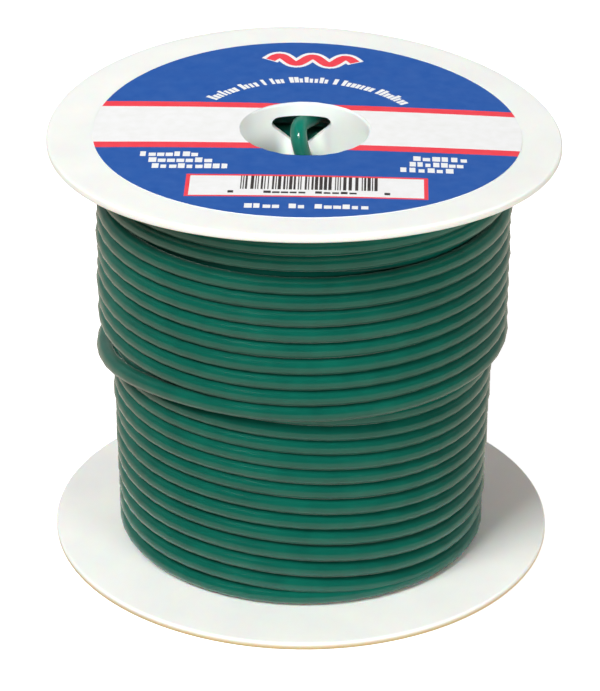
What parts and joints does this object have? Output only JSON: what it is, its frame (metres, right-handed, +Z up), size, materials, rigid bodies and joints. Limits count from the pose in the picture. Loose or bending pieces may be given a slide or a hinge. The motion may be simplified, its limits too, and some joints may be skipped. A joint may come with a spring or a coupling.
{
  "type": "wire spool",
  "caption": "Round flanged spool wound with insulated stranded wire, its inner end folded down the bore, with a round paper label on the upper flange.",
  "frame": {"origin": "centre of the lower flange's outer face, where the spool's axis meets the surface that it stands on", "axes": "+Z up along the spool's axis; +Y towards the start window in the upper bore collar; +X completes the right-handed set"},
  "size_m": [0.1016, 0.1016, 0.089],
  "materials": {
    "spool_plastic": "white moulded polystyrene, satin",
    "label_paper": "coated paper printed blue, white and red",
    "wire_insulation": "green PVC, glossy",
    "copper": "bare drawn copper"
  },
  "bodies": {
    "root": {"lower_flange": "spool_plastic", "upper_flange": "spool_plastic", "barrel": "spool_plastic", "top_label": "label_paper", "wire_winding": "wire_insulation", "wire_inner_end": "wire_insulation", "inner_end_strands": "copper", "wire_outer_end": "wire_insulation", "outer_end_strands": "copper"}
  },
  "joints": []
}
